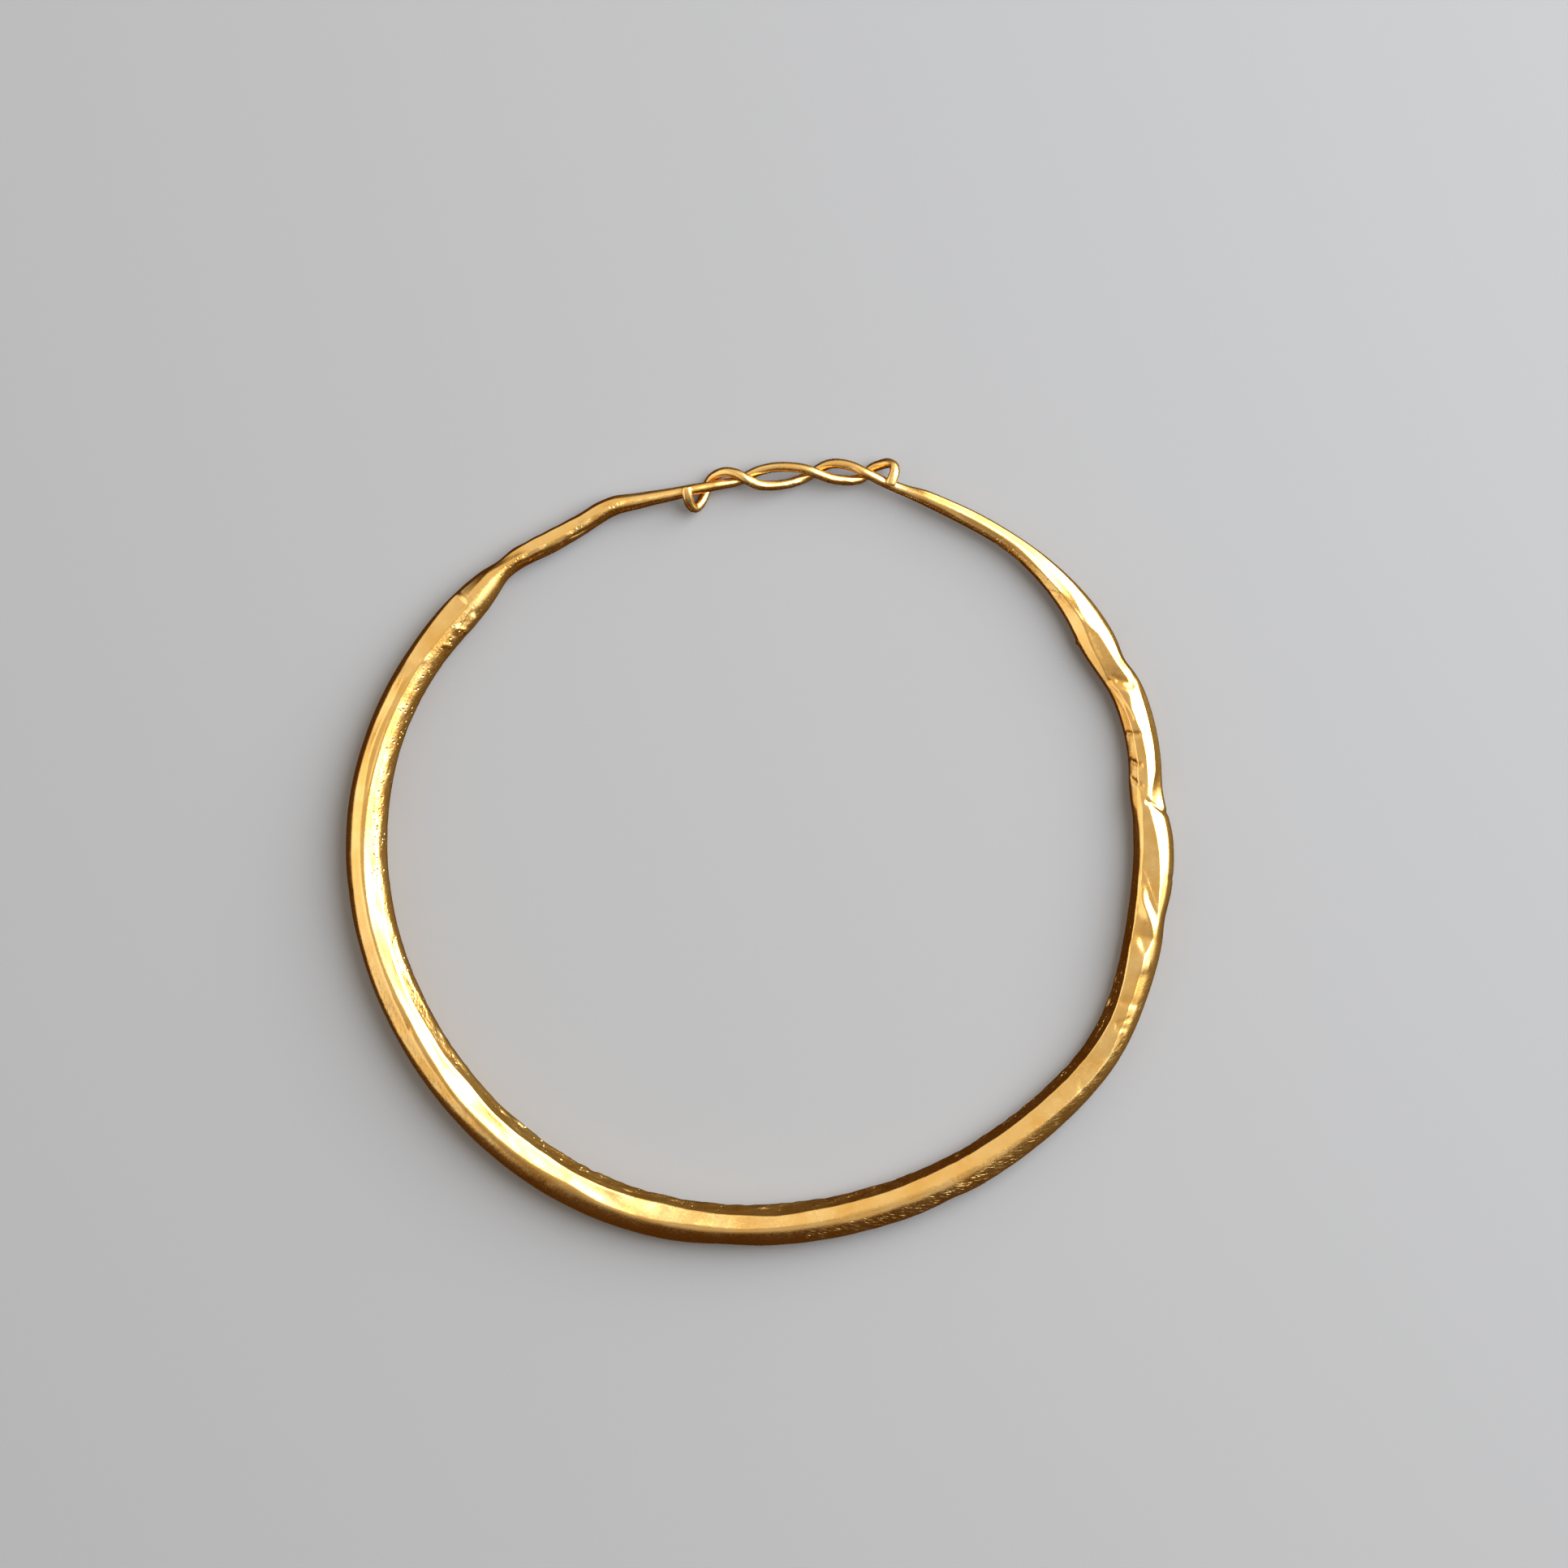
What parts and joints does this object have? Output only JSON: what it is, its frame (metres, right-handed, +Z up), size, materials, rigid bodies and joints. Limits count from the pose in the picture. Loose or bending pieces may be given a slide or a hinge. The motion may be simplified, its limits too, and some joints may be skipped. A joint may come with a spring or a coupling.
{
  "type": "gold bracelet",
  "caption": "Hollow gold hoop bracelet, thick on one side and tapering to wire ends that are wound together and hooked; worn, creased and crushed in places.",
  "frame": {"origin": "on the surface the bracelet lies on, under the middle of its outline seen from above", "axes": "+Z up through the wrist opening, +Y towards the twisted wires, +X across the hoop, where it is longest"},
  "size_m": [0.074, 0.0704, 0.0037],
  "materials": {
    "gold": "worn high-carat gold, softly polished by handling, with fine scratches and pits"
  },
  "bodies": {
    "root": {"bracelet_hoop": "gold"}
  },
  "joints": []
}
